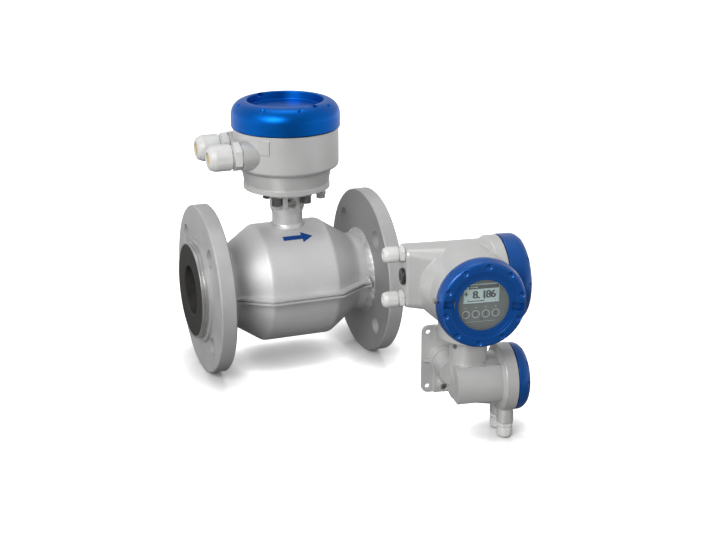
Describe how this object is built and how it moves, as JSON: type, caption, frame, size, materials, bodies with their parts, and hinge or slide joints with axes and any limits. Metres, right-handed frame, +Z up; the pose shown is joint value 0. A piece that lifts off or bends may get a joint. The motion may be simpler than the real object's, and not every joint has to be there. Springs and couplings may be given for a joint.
{
  "type": "electromagnetic flow meter",
  "caption": "Flanged electromagnetic flow sensor with a round blue lidded terminal box, and a separate field converter with a display on its own foot.",
  "frame": {"origin": "centre of the inlet sealing face, on the flow axis", "axes": "+X in the flow direction, +Z up towards the terminal box, -Y towards the side with the converter"},
  "size_m": [0.2423, 0.3829, 0.264],
  "materials": {
    "blasted_steel": "satin",
    "steel_casting": "satin",
    "ring_steel": "satin",
    "weld_steel": "satin",
    "screw_steel": "satin",
    "bright_screw": "satin",
    "tube_steel": "satin",
    "magnet_iron": "matte",
    "coil_copper": "satin",
    "electrode_alloy": "polished",
    "liner_rubber": "matte",
    "grey_paint": "satin",
    "blue_lid_paint": "satin",
    "blue_cover_paint": "gloss",
    "seal_rubber": "matte",
    "gland_plastic": "matte",
    "plug_yellow": "satin",
    "plug_black": "satin",
    "window_glass": "gloss",
    "panel_plastic": "matte",
    "lcd_plastic": "gloss",
    "insert_plastic": "matte",
    "terminal_plastic": "matte"
  },
  "bodies": {
    "meter": {"measuring_tube": "tube_steel", "liner": "liner_rubber", "inlet_flange": "steel_casting", "outlet_flange": "steel_casting", "inlet_ground_ring": "ring_steel", "outlet_ground_ring": "ring_steel", "inlet_weld": "weld_steel", "outlet_weld": "weld_steel", "upper_half_shell": "blasted_steel", "lower_half_shell": "blasted_steel", "upper_pole_shoe": "magnet_iron", "lower_pole_shoe": "magnet_iron", "upper_field_coil": "coil_copper", "lower_field_coil": "coil_copper", "magnetic_yoke": "magnet_iron", "front_electrode": "electrode_alloy", "rear_electrode": "electrode_alloy", "front_electrode_nut": "electrode_alloy", "rear_electrode_nut": "electrode_alloy", "neck_tube": "blasted_steel", "base_screw_1": "screw_steel", "base_screw_2": "screw_steel", "base_screw_3": "screw_steel", "base_screw_4": "screw_steel", "clamp_screw": "bright_screw", "earth_screw": "bright_screw", "terminal_box": "grey_paint", "sensor_terminals": "terminal_plastic", "sensor_gland_front": "gland_plastic", "sensor_gland_front_nut": "gland_plastic", "sensor_gland_front_plug": "plug_yellow", "sensor_gland_rear": "gland_plastic", "sensor_gland_rear_nut": "gland_plastic", "sensor_gland_rear_plug": "plug_yellow", "converter_housing": "grey_paint", "blind_plug": "plug_black", "display_panel": "panel_plastic", "lcd_screen": "lcd_plastic", "electronics_insert": "insert_plastic", "supply_terminals": "terminal_plastic", "head_gland_upper": "gland_plastic", "head_gland_lower": "gland_plastic", "compartment": "grey_paint", "compartment_terminals": "terminal_plastic", "compartment_gland_front": "gland_plastic", "compartment_gland_rear": "gland_plastic", "neck_screw_left": "screw_steel"},
    "terminal_lid_ring": {"terminal_lid_seal": "seal_rubber"},
    "terminal_lid_cover": {"terminal_lid": "blue_lid_paint"},
    "display_ring": {"display_seal": "seal_rubber"},
    "display_window_cover": {"display_cover": "blue_cover_paint", "display_glass": "window_glass", "cover_lock_screw": "bright_screw"},
    "supply_ring": {"supply_seal": "seal_rubber"},
    "supply_blind_cover": {"supply_cover": "blue_cover_paint"},
    "compartment_ring": {"compartment_seal": "seal_rubber"},
    "compartment_blind_cover": {"compartment_cover": "blue_cover_paint"},
    "plate": {"wall_plate": "grey_paint", "lock_screw": "bright_screw"}
  },
  "joints": [
    {"name": "lid_lift", "type": "slide", "parent": "meter", "child": "terminal_lid_ring", "axis": [0, 0, 1], "range_m": [0, 0.008]},
    {"name": "lid_unscrew", "type": "hinge", "parent": "terminal_lid_ring", "child": "terminal_lid_cover", "pos_m": [0.1, 0, 0.155], "axis": [0, 0, 1], "range_deg": [0, 1440]},
    {"name": "display_lift", "type": "slide", "parent": "meter", "child": "display_ring", "axis": [-0.1305, -0.9914, 0], "range_m": [0, 0.008]},
    {"name": "display_unscrew", "type": "hinge", "parent": "display_ring", "child": "display_window_cover", "pos_m": [0.18149, -0.23203, 0.0635], "axis": [-0.1305, -0.9914, 0], "range_deg": [0, 1440]},
    {"name": "supply_lift", "type": "slide", "parent": "meter", "child": "supply_ring", "axis": [0.9914, -0.1305, 0], "range_m": [0, 0.008]},
    {"name": "supply_unscrew", "type": "hinge", "parent": "supply_ring", "child": "supply_blind_cover", "pos_m": [0.1805, -0.2319, 0.0635], "axis": [0.9914, -0.1305, 0], "range_deg": [0, 1440]},
    {"name": "compartment_lift", "type": "slide", "parent": "meter", "child": "compartment_ring", "axis": [0.9914, -0.1305, 0], "range_m": [0, 0.008]},
    {"name": "compartment_unscrew", "type": "hinge", "parent": "compartment_ring", "child": "compartment_blind_cover", "pos_m": [0.1805, -0.2319, -0.0295], "axis": [0.9914, -0.1305, 0], "range_deg": [0, 1440]},
    {"name": "plate_swivel", "type": "hinge", "parent": "meter", "child": "plate", "pos_m": [0.18084, -0.19866, -0.021], "axis": [0.1305, 0.9914, 0], "range_deg": [-90, 90]}
  ],
  "couplings": [
    {"joint": "lid_unscrew", "follows": "lid_lift", "rad_per_m": 3141.6},
    {"joint": "display_unscrew", "follows": "display_lift", "rad_per_m": 3141.6},
    {"joint": "supply_unscrew", "follows": "supply_lift", "rad_per_m": 3141.6},
    {"joint": "compartment_unscrew", "follows": "compartment_lift", "rad_per_m": 3141.6}
  ]
}
